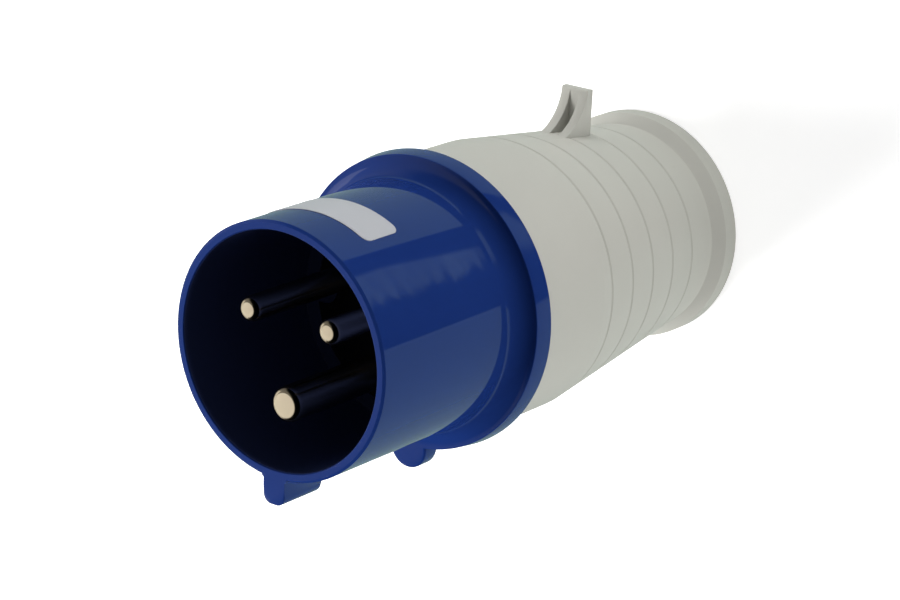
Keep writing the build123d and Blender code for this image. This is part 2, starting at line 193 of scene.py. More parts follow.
class TrimSizes(bpy.types.PropertyGroup):
    """The bare label and the cable grommet"""
    label_length: size("Label length", "Length across the shroud", 24.4)
    label_width: size("Label width", "Width along the shroud", 9.8)
    label_corner: size("Label corner", "Rounding of the label's corners", 1.6)
    label_film: size("Label film", "Thickness of the film", 0.12)
    label_from_rim: size("Label place", "Distance from the rim to the label", 9.6)
    grommet_bore: size("Grommet bore", "Hole for the cable", 5.5)
    grommet_radius: size("Grommet radius", "Outside of the grommet's body", 15.8)
    grommet_low: size("Grommet seat", "Lower face of the grommet's body", 12.0)
    grommet_high: size("Grommet top", "Upper face of the grommet's body", 19.0)
    nose_radius: size("Nose radius", "Root of the nose", 11.2)
    nose_tip: size("Nose tip radius", "Tip of the nose", 8.4)
    nose_low: size("Nose end", "Lower end of the nose", 5.0)
    nose_root: size("Nose root", "Height where the nose's taper starts", 9.0)
    nose_ring: size("Nose ring", "Depth of the rings on the nose", 0.35)
    nose_rings: IntProperty(name="Nose rings", description="Number of rings on the nose", default=3, min=0)


class Finishes(bpy.types.PropertyGroup):
    """Colours and gloss"""
    shell: colour("Front housing", "Glossy blue plastic", (0.0085, 0.0265, 0.140))
    # Painted shade: a darker, greyer blue for the inside of the shroud, standing in for the shade in its
    # cavity.
    shell_inside_shade: colour("Shroud inside", "Blue plastic darkened as painted shade inside the shroud", (0.018, 0.027, 0.085))
    grip: colour("Handle", "Satin grey plastic", (0.452, 0.449, 0.408))
    insert: colour("Carrier", "Black plastic", (0.006, 0.006, 0.008))
    pin: colour("Pins", "Pale plated brass", (0.58, 0.49, 0.35))
    steel: colour("Screws", "Zinc-plated steel", (0.52, 0.53, 0.55))
    rubber: colour("Seals", "Black rubber", (0.016, 0.016, 0.017))
    label: colour("Label", "Pale film", (0.425, 0.43, 0.46))
    shell_roughness: share("Housing roughness", "Gloss of the blue plastic", 0.04)
    grip_roughness: share("Handle roughness", "Gloss of the grey plastic", 0.46)
    insert_roughness: share("Carrier roughness", "Gloss of the black plastic", 0.42)
    rubber_roughness: share("Rubber roughness", "Gloss of the black rubber", 0.62)
    pin_roughness: share("Pin roughness", "Gloss of the pins", 0.16)
    pin_face_metal: share("Pin face", "How metallic the face of a pin's tip is", 0.35)
    inside_dulling: share("Inside dulling", "Roughness that the mould adds inside the shroud", 0.38)
    rubbed_dulling: share("Rubbed dulling", "Roughness that handling adds", 0.18)


class StudioSettings(bpy.types.PropertyGroup):
    """Camera, lamps and floor"""
    camera_place: place("Camera place", "Where the camera stands", (-0.344679, -0.187641, 0.536159))
    camera_turn: FloatVectorProperty(name="Camera turn", description="Euler angles of the camera", size=3,
                                     default=(radians(-16.2349), radians(37.0105), radians(-176.7757)),
                                     unit="ROTATION", subtype="EULER")
    lens: FloatProperty(name="Lens", description="Focal length in millimetres", default=124.196,
                        unit="CAMERA")
    film: amount("Film", "Width of the film in millimetres", 36.0)
    shift_x: amount("Shift across", "Sideways shift of the picture, as a share of its width", -0.0061)
    shift_y: amount("Shift up", "Upward shift of the picture, as a share of its width", 0.0063)
    aim: place("Aim", "Point that the lamps face", (0.0, 0.0, 0.06))
    lamp_distance: size("Lamp distance", "From the aim to each lamp", 850.0)
    lamp_width: size("Lamp width", "Width of each lamp", 600.0)
    strip_height: size("Strip height", "Height of the three low lamps", 120.0)
    strip_rise: turn("Strip rise", "How high the three low lamps stand", 2.0)
    back_height: size("Back lamp height", "Height of the back lamp", 400.0)
    back_rise: turn("Back lamp rise", "How high the back lamp stands", 48.0)
    key_power: power("Key lamp", "Lamp on the tab's side", 4.5)
    side_power: power("Side lamp", "Lamp on the left of the view", 3.9)
    low_power: power("Low lamp", "Lamp on the key's side", 1.2)
    back_power: power("Back lamp", "High lamp behind the plug", 11.5)
    ambient: amount("Ambient", "Even light from all round", 0.22)
    floor_tone: share("Floor tone", "Grey of the floor under the lamps", 0.86)
    floor_glow: share("Floor glow", "Glow near the plug, low enough to keep its shadow", 0.60)
    glow_start: size("Glow start", "From the axis to where the floor's glow starts to rise", 150.0)
    glow_end: size("Glow end", "From the axis to where the floor is white", 700.0)


class CardSettings(bpy.types.PropertyGroup):
    """Glowing cards that only reflections see"""
    dim_width: size("Dim card", "Width of the card over the floor", 1600.0)
    dim_lift: size("Dim card's height", "How far it lies over the floor", 0.8)
    dim_glow: amount("Dim card's glow", "Brightness of that card", 0.33)
    fade_start: size("Fade start", "From the axis to where that card starts to fade", 200.0)
    fade_end: size("Fade end", "From the axis to where it is dark", 300.0)
    corner_start: spot("Dark corner", "X and Y where the dark corner of that card ends", (-0.0300, -0.0080))
    corner_end: spot("Light part", "X and Y where the rest of it is fully lit", (-0.0285, -0.0060))
    patch_start: size("Patch start", "From the axis to the start of the streaky patch", 88.0)
    patch_full: size("Patch full", "From the axis to where the patch is fully lit", 102.0)
    patch_wide: size("Patch widest", "From the axis to the patch's widest place", 133.0)
    ragged_start: turn("Ragged edge", "Direction of the patch's ragged edge", -138.656)
    ragged_end: turn("Ragged edge's end", "Direction where that edge is fully lit", -133.499)
    ragged_reach: turn("Raggedness", "How far the streaks push that edge", 12.605)
    narrow_side: turn("Smooth edge", "Direction of the smooth edge where the patch starts", -128.916)
    wide_side: turn("Smooth edge's end", "Direction of the smooth edge at the widest place", -115.737)
    smooth_width: turn("Smooth edge's width", "Width of the smooth edge", 4.011)
    patch_glow: share("Patch's least glow", "Brightness of the patch between its streaks", 0.20)
    streak_glow: share("Patch's most glow", "Brightness of the streaks", 0.50)
    upright_glow: amount("Upright card's glow", "Brightness of the card behind the pins", 1.0)
    round_radius: size("Round card's radius", "From the axis to the closed wall round the stage", 460.0)
    round_height: size("Round card's height", "Height of that wall", 1300.0)
    round_start: size("Bright side", "Where the wall starts to brighten along X", 250.0)
    round_end: size("Bright side's end", "Where it is brightest along X", 350.0)
    round_glow: amount("Round card's glow", "Brightness of the wall's bright side", 0.22)


# Modelling helpers

def clear_selection():
    if bpy.context.object and bpy.context.object.mode != "OBJECT":
        bpy.ops.object.mode_set(mode="OBJECT")
    bpy.ops.object.select_all(action="DESELECT")


def pick(piece):
    clear_selection()
    piece.select_set(True)
    bpy.context.view_layer.objects.active = piece


def arc(centre, start, end, parts):
    """Points on the shorter arc from start to end, both included."""
    first = atan2(start[1] - centre[1], start[0] - centre[0])
    last = atan2(end[1] - centre[1], end[0] - centre[0])
    sweep = (last - first + pi) % (2 * pi) - pi
    radius = hypot(start[0] - centre[0], start[1] - centre[1])
    turns = [first + sweep * n / parts for n in range(parts + 1)]
    return [(centre[0] + radius * cos(a), centre[1] + radius * sin(a)) for a in turns]


def bowed(start, end, sag, parts):
    """Points from start to end on an arc that bows by sag to the left of the way from start to end."""
    chord = Vector(end) - Vector(start)
    side = Vector((-chord.y, chord.x)).normalized()
    radius = (chord.length_squared / 4 + sag * sag) / (2 * abs(sag))
    middle = (Vector(start) + Vector(end)) / 2
    centre = middle - side * (radius - abs(sag)) * (1 if sag > 0 else -1)
    return arc(centre, start, end, parts)


def rounded(corners, parts=5):
    """A closed outline through corners (x, y) or (x, y, radius), with an arc at each that has a radius."""
    line = []
    for n, corner in enumerate(corners):
        here = Vector(corner[:2])
        if len(corner) == 2:
            line.append(here)
            continue
        back = (Vector(corners[n - 1][:2]) - here).normalized()
        ahead = (Vector(corners[(n + 1) % len(corners)][:2]) - here).normalized()
        half = back.angle(ahead) / 2
        reach = corner[2] / tan(half)
        centre = here + (back + ahead).normalized() * (corner[2] / sin(half))
        line += [Vector(p) for p in arc(centre, here + back * reach, here + ahead * reach, parts)]
    return line


def loop(name, points):
    """A closed line of vertices, drawn by extruding one vertex from point to point. Stays in edit mode."""
    clear_selection()
    bpy.ops.mesh.primitive_plane_add(size=MM, location=(0, 0, 0))
    piece = bpy.context.object
    piece.name = piece.data.name = name
    bpy.ops.object.mode_set(mode="EDIT")
    bpy.ops.mesh.select_all(action="SELECT")
    bpy.ops.mesh.merge(type="CENTER")
    bpy.ops.transform.translate(value=points[0])
    for before, after in zip(points, points[1:] + points[:1]):
        step = Vector(after) - Vector(before)
        bpy.ops.mesh.extrude_vertices_move(TRANSFORM_OT_translate={"value": step})
    bpy.ops.mesh.select_all(action="SELECT")
    bpy.ops.mesh.remove_doubles(threshold=WELD)
    return piece


def close_up(piece):
    """Merges what a spin or an extrusion left open, turns every face outwards and leaves edit mode."""
    bpy.ops.mesh.select_all(action="SELECT")
    bpy.ops.mesh.remove_doubles(threshold=WELD)
    bpy.ops.mesh.normals_make_consistent(inside=False)
    bpy.ops.object.mode_set(mode="OBJECT")
    return piece


def turned(name, outline, steps=TURN_STEPS):
    """A closed outline of (radius, height) turned round the plug's axis."""
    piece = loop(name, [(r, 0.0, z) for r, z in outline])
    bpy.ops.mesh.spin(steps=steps, angle=2 * pi, center=(0, 0, 0), axis=(0, 0, 1))
    return close_up(piece)


def prism(name, points, push):
    """A flat closed outline, filled and extruded by the vector push."""
    piece = loop(name, points)
    bpy.ops.mesh.edge_face_add()
    bpy.ops.mesh.extrude_region_move(TRANSFORM_OT_translate={"value": push})
    return close_up(piece)


def bevel_edges(piece, wanted, width, parts=4):
    """Rounds the edges whose two ends both pass the test named wanted."""
    pick(piece)
    bpy.ops.object.mode_set(mode="EDIT")
    bpy.ops.mesh.select_mode(type="EDGE")
    bpy.ops.mesh.select_all(action="DESELECT")
    mesh = bmesh.from_edit_mesh(piece.data)
    chosen = [edge for edge in mesh.edges if wanted(edge.verts[0].co, edge.verts[1].co)]
    if not chosen:
        raise RuntimeError("no edge to round on " + piece.name)
    for edge in chosen:
        edge.select_set(True)
    bmesh.update_edit_mesh(piece.data)
    bpy.ops.mesh.bevel(offset=width, segments=parts, affect="EDGES")
    bpy.ops.mesh.select_mode(type="VERT")
    bpy.ops.object.mode_set(mode="OBJECT")


def combine(piece, other, operation="UNION"):
    """Joins, cuts or keeps what two closed pieces share, and removes the second."""
    pick(piece)
    step = piece.modifiers.new(operation.title(), "BOOLEAN")
    step.operation = operation
    step.solver = "EXACT"
    step.object = other
    bpy.ops.object.modifier_apply(modifier=step.name)
    bpy.data.objects.remove(other)


def shift(piece, by):
    """Moves a piece's mesh, so that its object stays at the origin."""
    pick(piece)
    bpy.ops.object.mode_set(mode="EDIT")
    bpy.ops.mesh.select_all(action="SELECT")
    bpy.ops.transform.translate(value=by)
    bpy.ops.object.mode_set(mode="OBJECT")


def settle(piece):
    """Puts a primitive's place and turn into its mesh."""
    pick(piece)
    bpy.ops.object.transform_apply(location=True, rotation=True, scale=True)


def dress(piece, material, slot, *nodes, angle=30.0):
    """Smooths a finished piece, gives it its material and ties it to the frame."""
    pick(piece)
    bpy.ops.object.shade_smooth_by_angle(angle=radians(angle))
    piece.data.materials.clear()
    piece.data.materials.append(material)
    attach(piece, "root")
    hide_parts(*nodes)


# Materials

def new_group(name, inputs, outputs):
    """An empty shader group with its named sockets, and its two end nodes."""
    group = bpy.data.node_groups.new(name, "ShaderNodeTree")
    for label, kind, value in inputs:
        socket = group.interface.new_socket(label, in_out="INPUT", socket_type=kind)
        if value is not None:
            socket.default_value = value
    for label, kind in outputs:
        group.interface.new_socket(label, in_out="OUTPUT", socket_type=kind)
    return group, group.nodes.new("NodeGroupInput"), group.nodes.new("NodeGroupOutput")


def add_node(tree, kind, **settings):
    node = tree.nodes.new(kind)
    for key, value in settings.items():
        if key in node.inputs:
            node.inputs[key].default_value = value
        else:
            setattr(node, key.lower(), value)
    return node


def noise(tree, vector, scale, detail=2.0, roughness=0.5):
    node = add_node(tree, "ShaderNodeTexNoise", Detail=detail, Roughness=roughness)
    tree.links.new(vector, node.inputs["Vector"])
    if isinstance(scale, float):
        node.inputs["Scale"].default_value = scale
    else:
        tree.links.new(scale, node.inputs["Scale"])
    return node.outputs["Fac"]


def remap(tree, value, low, high, to_low=0.0, to_high=1.0):
    node = tree.nodes.new("ShaderNodeMapRange")
    tree.links.new(value, node.inputs["Value"])
    for key, bound in (("From Min", low), ("From Max", high), ("To Min", to_low), ("To Max", to_high)):
        if isinstance(bound, float):
            node.inputs[key].default_value = bound
        else:
            tree.links.new(bound, node.inputs[key])
    return node.outputs["Result"]


def maths(tree, operation, first, second=0.0):
    node = add_node(tree, "ShaderNodeMath", operation=operation)
    for socket, value in zip(node.inputs, (first, second)):
        if isinstance(value, float):
            socket.default_value = value
        else:
            tree.links.new(value, socket)
    return node.outputs["Value"]


def split(tree, vector):
    """The X, Y and Z sockets of a vector."""
    axes = add_node(tree, "ShaderNodeSeparateXYZ")
    tree.links.new(vector, axes.inputs["Vector"])
    return axes.outputs["X"], axes.outputs["Y"], axes.outputs["Z"]


def from_axis(tree, x, y):
    """The distance from the Z axis."""
    squares = maths(tree, "ADD", maths(tree, "MULTIPLY", x, x), maths(tree, "MULTIPLY", y, y))
    return maths(tree, "SQRT", squares)


def moulding_group():
    """Fine moulded grain, broad unevenness and faint flow marks of injection-moulded plastic."""
    group, start, end = new_group("moulded plastic", [
        ("Vector", "NodeSocketVector", None),
        ("Grain Scale", "NodeSocketFloat", 2600.0),
        ("Ripple Scale", "NodeSocketFloat", 120.0),
        ("Grain", "NodeSocketFloat", 0.5),
    ], [("Height", "NodeSocketFloat"), ("Mottle", "NodeSocketFloat"), ("Scuff", "NodeSocketFloat")])
    vector = start.outputs["Vector"]
    grain = noise(group, vector, start.outputs["Grain Scale"], detail=3.0, roughness=0.6)
    ripple = noise(group, vector, start.outputs["Ripple Scale"], detail=1.0)
    fine = maths(group, "MULTIPLY", grain, start.outputs["Grain"])
    group.links.new(maths(group, "ADD", fine, ripple), end.inputs["Height"])
    broad = noise(group, vector, scale=45.0, detail=4.0, roughness=0.6)
    group.links.new(remap(group, broad, 0.3, 0.7), end.inputs["Mottle"])
    stretch = add_node(group, "ShaderNodeMapping", Scale=(1.0, 1.0, 0.12))
    group.links.new(vector, stretch.inputs["Vector"])
    scratch = noise(group, stretch.outputs["Vector"], scale=900.0, detail=5.0, roughness=0.7)
    group.links.new(remap(group, scratch, 0.62, 0.74), end.inputs["Scuff"])
    return group


def wear_group():
    """A mask of rubbed spots near a given radius from the axis, broken up by noise."""
    group, start, end = new_group("rubbed ring", [
        ("Vector", "NodeSocketVector", None),
        ("Radius", "NodeSocketFloat", 0.025),
        ("Width", "NodeSocketFloat", 0.0008),
        ("Low", "NodeSocketFloat", 0.0),
        ("High", "NodeSocketFloat", 1.0),
    ], [("Mask", "NodeSocketFloat")])
    x, y, z = split(group, start.outputs["Vector"])
    away = maths(group, "ABSOLUTE", maths(group, "SUBTRACT", from_axis(group, x, y), start.outputs["Radius"]))
    near = remap(group, away, 0.0, start.outputs["Width"], 1.0, 0.0)
    above = maths(group, "GREATER_THAN", z, start.outputs["Low"])
    below = maths(group, "LESS_THAN", z, start.outputs["High"])
    band = maths(group, "MULTIPLY", near, maths(group, "MULTIPLY", above, below))
    grain = noise(group, start.outputs["Vector"], scale=700.0, detail=4.0, roughness=0.7)
    spots = remap(group, grain, 0.45, 0.7)
    group.links.new(maths(group, "MULTIPLY", band, spots), end.inputs["Mask"])
    return group


def turning_group():
    """Fine rings round a turned piece's own axis, as a lathe leaves them."""
    group, start, end = new_group("turning marks", [
        ("Vector", "NodeSocketVector", None),
        ("Pitch Scale", "NodeSocketFloat", 9000.0),
    ], [("Height", "NodeSocketFloat"), ("Streak", "NodeSocketFloat")])
    x, y, z = split(group, start.outputs["Vector"])
    along = maths(group, "ADD", from_axis(group, x, y), z)
    phase = maths(group, "MULTIPLY", along, start.outputs["Pitch Scale"])
    group.links.new(maths(group, "SINE", phase), end.inputs["Height"])
    joined = add_node(group, "ShaderNodeCombineXYZ")
    group.links.new(along, joined.inputs["X"])
    streak = noise(group, joined.outputs["Vector"], scale=2500.0, detail=4.0, roughness=0.7)
    group.links.new(remap(group, streak, 0.3, 0.7), end.inputs["Streak"])
    return group


GROUPS = {}


def shared(name):
    """A shared shader group, built the first time that a material asks for it."""
    makers = {"moulding": moulding_group, "wear": wear_group, "turning": turning_group}
    if name not in GROUPS:
        GROUPS[name] = makers[name]()
    return GROUPS[name]


def place_group(tree, name, vector, **values):
    node = tree.nodes.new("ShaderNodeGroup")
    node.node_tree = shared(name)
    tree.links.new(vector, node.inputs["Vector"])
    for key, value in values.items():
        node.inputs[key.replace("_", " ")].default_value = value
    return node


def blank(name):
    """A new material with its shader and its Object coordinates."""
    material = bpy.data.materials.new(name)
    material.use_nodes = True
    tree = material.node_tree
    shader = tree.nodes["Principled BSDF"]
    where = tree.nodes.new("ShaderNodeTexCoord").outputs["Object"]
    return material, tree, shader, where


def tint(tree, shader, base, other, mask):
    """Sets Base Color between two colours by a mask; the first may be a socket. Returns the mixture."""
    mix = add_node(tree, "ShaderNodeMix", data_type="RGBA")
    if isinstance(base, bpy.types.NodeSocket):
        tree.links.new(base, mix.inputs["A"])
    else:
        mix.inputs["A"].default_value = (*base, 1.0)
    mix.inputs["B"].default_value = (*other, 1.0)
    tree.links.new(mask, mix.inputs["Factor"])
    tree.links.new(mix.outputs["Result"], shader.inputs["Base Color"])
    return mix.outputs["Result"]


def bump(tree, shader, height, distance):
    """Fine relief, as deep as the given distance where the height is 1."""
    node = add_node(tree, "ShaderNodeBump", Strength=1.0, Distance=distance)
    tree.links.new(height, node.inputs["Height"])
    tree.links.new(node.outputs["Normal"], shader.inputs["Normal"])


def scaled(base, factor):
    return tuple(min(1.0, part * factor) for part in base)


def moulded(name, base, roughness, grain_depth, grain, ripple, spread, rings=(), shaded_core=None):
    """An injection-moulded plastic, with rubbed rings (radius, low, high) where it is handled.

    Nearer to the axis than the shaded core's radius it is duller, and it takes the shaded core's darker
    colour: painted shade that stands in for the shade inside the shroud.
    """
    look = bpy.context.scene.plug_finishes
    material, tree, shader, where = blank(name)
    group = place_group(tree, "moulding", where, Grain_Scale=grain, Ripple_Scale=ripple)
    mask = group.outputs["Mottle"]
    coat = tint(tree, shader, scaled(base, 1.0 - spread), scaled(base, 1.0 + spread), mask)
    dull = remap(tree, group.outputs["Scuff"], 0.0, 1.0, roughness, roughness * 1.3)
    if shaded_core:
        reach, inner = shaded_core
        # Painted shade: inside the shroud's wall the base colour is darkened to stand in for the cavity's
        # shade; the added roughness is real dulling.
        x, y = split(tree, where)[:2]
        inside_painted_shade = remap(tree, from_axis(tree, x, y), reach, reach + 2 * CLEAR, 1.0, 0.0)
        tint(tree, shader, coat, inner, inside_painted_shade)
        dull = maths(tree, "ADD", dull, maths(tree, "MULTIPLY", inside_painted_shade, look.inside_dulling))
    for radius, low, high in rings:
        wear = place_group(tree, "wear", where, Radius=radius, Low=low, High=high)
        rubbed = maths(tree, "MULTIPLY", wear.outputs["Mask"], look.rubbed_dulling)
        dull = maths(tree, "ADD", dull, rubbed)
    tree.links.new(dull, shader.inputs["Roughness"])
    bump(tree, shader, group.outputs["Height"], grain_depth)
    shader.inputs["IOR"].default_value = 1.5
    return material


def blue_plastic():
    look = bpy.context.scene.plug_finishes
    part = bpy.context.scene.plug_shell
    level = bpy.context.scene.plug_levels
    rings = [(part.radius - 3 * CLEAR, level.rim - MM, level.rim + MM),
             (part.flange_radius - 2 * CLEAR, level.joint - 5 * CLEAR, level.flange_front + 4 * CLEAR)]
    # Painted shade: the darker inside colour stands in for the shade within the shroud's wall.
    shaded_core = (part.radius - part.wall, look.shell_inside_shade)
    return moulded("gloss blue plastic", look.shell, look.shell_roughness, grain_depth=0.0000012,
                   grain=1900.0, ripple=90.0, spread=0.05, rings=rings, shaded_core=shaded_core)


def grey_plastic():
    look = bpy.context.scene.plug_finishes
    part = bpy.context.scene.plug_grip
    rings = [(part.lip_radius - CLEAR, -MM, part.lip_thickness + 3 * CLEAR)]
    return moulded("satin grey plastic", look.grip, look.grip_roughness, grain_depth=0.000012, grain=2600.0,
                   ripple=160.0, spread=0.018, rings=rings)


def black_plastic():
    look = bpy.context.scene.plug_finishes
    return moulded("black insert plastic", look.insert, look.insert_roughness, grain_depth=0.000008,
                   grain=2200.0, ripple=140.0, spread=0.10)


def black_rubber():
    look = bpy.context.scene.plug_finishes
    return moulded("black seal rubber", look.rubber, look.rubber_roughness, grain_depth=0.00002,
                   grain=1500.0, ripple=300.0, spread=0.12)


def turned_metal(name, centre):
    """A turned and plated metal, whose rings run round the given centre; the face of its tip is duller."""
    look = bpy.context.scene.plug_finishes
    tip = bpy.context.scene.plug_pins.tip
    material, tree, shader, where = blank(name)
    mapping = add_node(tree, "ShaderNodeMapping", Location=(-centre[0], -centre[1], 0.0))
    tree.links.new(where, mapping.inputs["Vector"])
    marks = place_group(tree, "turning", mapping.outputs["Vector"])
    tint(tree, shader, scaled(look.pin, 0.94), look.pin, marks.outputs["Streak"])
    z = split(tree, where)[2]
    metal = remap(tree, z, tip - 4 * HAIR, tip - HAIR, 1.0, look.pin_face_metal)
    tree.links.new(metal, shader.inputs["Metallic"])
    rough = look.pin_roughness
    dull = remap(tree, marks.outputs["Streak"], 0.0, 1.0, rough, rough + 0.10)
    tree.links.new(dull, shader.inputs["Roughness"])
    bump(tree, shader, marks.outputs["Height"], 0.0000010)
    return material


def plated_steel():
    look = bpy.context.scene.plug_finishes
    material, tree, shader, where = blank("zinc-plated steel")
    spangle = noise(tree, where, scale=1800.0, detail=5.0, roughness=0.65)
    tint(tree, shader, scaled(look.steel, 0.85), look.steel, remap(tree, spangle, 0.35, 0.65))
    shader.inputs["Metallic"].default_value = 1.0
    tree.links.new(remap(tree, spangle, 0.3, 0.7, 0.28, 0.45), shader.inputs["Roughness"])
    bump(tree, shader, spangle, 0.000004)
    return material


def label_film():
    look = bpy.context.scene.plug_finishes
    material, tree, shader, where = blank("bare label film")
    fibre = noise(tree, where, scale=3200.0, detail=4.0, roughness=0.6)
    tint(tree, shader, scaled(look.label, 0.965), look.label, remap(tree, fibre, 0.35, 0.65))
    tree.links.new(remap(tree, fibre, 0.3, 0.7, 0.34, 0.42), shader.inputs["Roughness"])
    bump(tree, shader, fibre, 0.000003)
    return material


# Pieces

class PLUG_OT_front_shell(bpy.types.Operator):
    """Blue front housing: shroud, cove, flange, key, ear, carrier ledge and screw posts"""
    bl_idname = "plug.front_shell"
    bl_label = "Front housing"

    def execute(self, context):
        part = context.scene.plug_shell
        level = context.scene.plug_levels
        cavity = part.radius - part.wall
        cove_r = part.radius + part.cove
        cove_z = level.flange_front + part.cove
        edge = part.edge_round
        soft = edge / 2
        front = part.flange_radius - part.flange_draft
        ledge_z = level.cavity_floor - part.ledge
        cove = arc((cove_r, cove_z), (cove_r, level.flange_front), (part.radius, cove_z), parts=20)
        outline = rounded([
            (part.spigot_bore, part.spigot_low, edge),
            (part.spigot_radius, part.spigot_low, edge),
            (part.spigot_radius, level.joint),
            (part.seal_inner, level.joint),
            (part.seal_inner, level.joint + part.seal_depth),
            (part.seal_outer, level.joint + part.seal_depth),
            (part.seal_outer, level.joint),
            (part.flange_radius, level.joint, edge),
            (front, level.flange_front, edge * 0.8),
            *cove,
            (part.radius, level.rim - part.rim_chamfer, soft),
            (part.radius - part.rim_chamfer, level.rim, soft),
            (cavity + part.rim_chamfer / 2, level.rim, soft),
            (cavity, level.rim - part.rim_chamfer, soft),
            (cavity, level.cavity_floor, edge),
            (part.ledge_radius, level.cavity_floor, soft),
            (part.ledge_radius, ledge_z),
            (part.spigot_bore, ledge_z),
        ])
        shell = turned("front_shell", outline)
        combine(shell, self.key(part, level))
        combine(shell, self.ear(part, level))
        for side in (-1, 1):
            combine(shell, self.post(part, level, side))
        dress(shell, blue_plastic(), "blue_shell", "front_housing")
        return {"FINISHED"}

    def key(self, part, level):
        """The ridge below the rim, with a round outer face and a fillet at its root."""
        half = part.key_width / 2
        root = part.key_root
        inside = part.radius - part.wall / 2
        side_x = half + root
        side_y = sqrt((part.radius + root) ** 2 - side_x ** 2)
        foot = part.radius / (part.radius + root)
        line = [(-side_x * foot, inside)]
        line += arc((-side_x, side_y), (-side_x * foot, side_y * foot), (-half, side_y), parts=6)
        outer = rounded([(-half, side_y), (-half, part.key_reach, part.key_round),
                         (half, part.key_reach, part.key_round), (half, side_y)], parts=10)
        line += [tuple(p) for p in outer[1:]]
        line += arc((side_x, side_y), (half, side_y), (side_x * foot, side_y * foot), parts=6)[1:]
        line.append((side_x * foot, inside))
        ridge = prism("key", [(x, y, level.rim) for x, y in line], (0, 0, -part.key_length))
        low = level.rim - part.key_length
        limit = side_y + CLEAR
        bevel_edges(ridge, lambda a, b: max(a.z, b.z) < low + CLEAR and min(a.y, b.y) > limit, part.key_end)
        bevel_edges(ridge, lambda a, b: min(a.z, b.z) > level.rim - HAIR and min(a.y, b.y) > limit,
                    part.edge_round, parts=3)
        return ridge

    def ear(self, part, level):
        """The half-round ear on the flange's edge."""
        clear_selection()
        middle = (0, part.ear_reach - part.ear_radius, (level.joint + level.flange_front) / 2)
        bpy.ops.mesh.primitive_cylinder_add(vertices=96, radius=part.ear_radius,
                                            depth=level.flange_front - level.joint, location=middle)
        ear = bpy.context.object
        settle(ear)
        bevel_edges(ear, lambda a, b: abs(a.z - b.z) < HAIR, part.ear_round, parts=5)
        return ear

    def post(self, part, level, side):
        """A screw post with its web to the spigot's wall."""
        clear_selection()
        high = level.cavity_floor - 2 * HAIR
        tall = high - part.boss_low
        middle = (side * part.boss_offset, 0, part.boss_low + tall / 2)
        bpy.ops.mesh.primitive_cylinder_add(vertices=64, radius=part.boss_radius, depth=tall, location=middle)
        post = bpy.context.object
        settle(post)
        clear_selection()
        reach = part.spigot_bore + part.edge_round - part.boss_offset
        bpy.ops.mesh.primitive_cube_add(size=1, scale=(reach, 2 * part.boss_radius, tall),
                                        location=(side * (part.boss_offset + reach / 2), 0, middle[2]))
        web = bpy.context.object
        settle(web)
        combine(post, web)
        return post


class PLUG_OT_grip(bpy.types.Operator):
    """Grey handle: straight mouth, ringed taper, flared end and catch tab"""
    bl_idname = "plug.grip"
    bl_label = "Handle"

    def execute(self, context):
        part = context.scene.plug_grip
        level = context.scene.plug_levels
        slope = tan(part.taper)

        def outside(z):
            return part.radius - slope * (part.straight_low - z)

        grooves = []
        for n in reversed(range(part.grooves)):
            z = part.straight_low - part.groove_first - n * part.groove_pitch
            half = part.groove_half
            soft = half / 5
            grooves += [(outside(z - half), z - half, soft), (outside(z) - part.groove_depth, z, soft),
                        (outside(z + half), z + half, soft)]
        inner = part.lip_radius - part.wall
        wall_r = part.radius - part.wall
        end_z = part.recess_depth + part.end_wall
        sleeve = part.sleeve_inner + part.wall
        sleeve_z = end_z + part.sleeve_height
        edge = part.edge_round
        outline = rounded([
            (inner, 0.0, edge),
            (part.lip_radius, 0.0, part.lip_round),
            (part.lip_radius, part.lip_thickness, edge),
            (outside(part.flare_top), part.flare_top, edge),
            *grooves,
            (part.radius, part.straight_low, part.straight_round),
            (part.radius, level.joint, edge),
            (part.mouth_radius, level.joint, edge),
            (part.mouth_radius, level.joint - part.mouth_lip, edge),
            (wall_r, level.joint - part.mouth_lip),
            (wall_r, part.straight_low),
            (outside(end_z) - part.wall, end_z),
            (sleeve, end_z),
            (sleeve, sleeve_z, edge),
            (part.sleeve_inner, sleeve_z, edge),
            (part.sleeve_inner, end_z),
            (part.throat, end_z),
            (part.throat, part.recess_depth, edge),
            (inner - part.recess_draft, part.recess_depth, edge),
        ])
        grip = turned("grip", outline)
        combine(grip, self.tab(part, outside))
        dress(grip, grey_plastic(), "grey_shell", "handle")
        return {"FINISHED"}

    def tab(self, part, outside):
        """An upright plate on two ribs whose front edges sweep down to the handle."""
        front = part.tab_back + part.tab_plate
        foot_z = front + part.tab_foot
        foot_y = outside(foot_z) - part.root
        root_y = outside(part.tab_back) - part.root
        half = part.tab_width / 2
        plate = prism("plate", [(-half, -root_y, part.tab_back), (-half, -part.tab_reach, part.tab_back),
                                (half, -part.tab_reach, part.tab_back), (half, -root_y, part.tab_back)],
                      (0, 0, part.tab_plate))
        top = -part.tab_reach + CLEAR
        bevel_edges(plate, lambda a, b: max(a.y, b.y) < top and abs(a.x - b.x) > MM, part.tab_round)
        bevel_edges(plate, lambda a, b: abs(a.y - b.y) > MM, part.tab_round / 3, parts=3)
        land = -part.tab_reach + part.tab_land
        sunk = front - 2 * CLEAR
        sweep = bowed((land, front), (-foot_y, foot_z), -part.tab_sag, parts=28)
        side = sweep + [(-root_y, sunk), (land, sunk)]
        for x in (-half, half - part.tab_rib):
            rib = prism("rib", [(x, y, z) for y, z in side], (part.tab_rib, 0, 0))
            bevel_edges(rib, lambda a, b: abs(a.x - b.x) < HAIR and min(a.z, b.z) > front + 5 * HAIR
                        and min(a.y, b.y) < -foot_y + HAIR, part.tab_round / 3, parts=2)
            combine(plate, rib)
        return plate


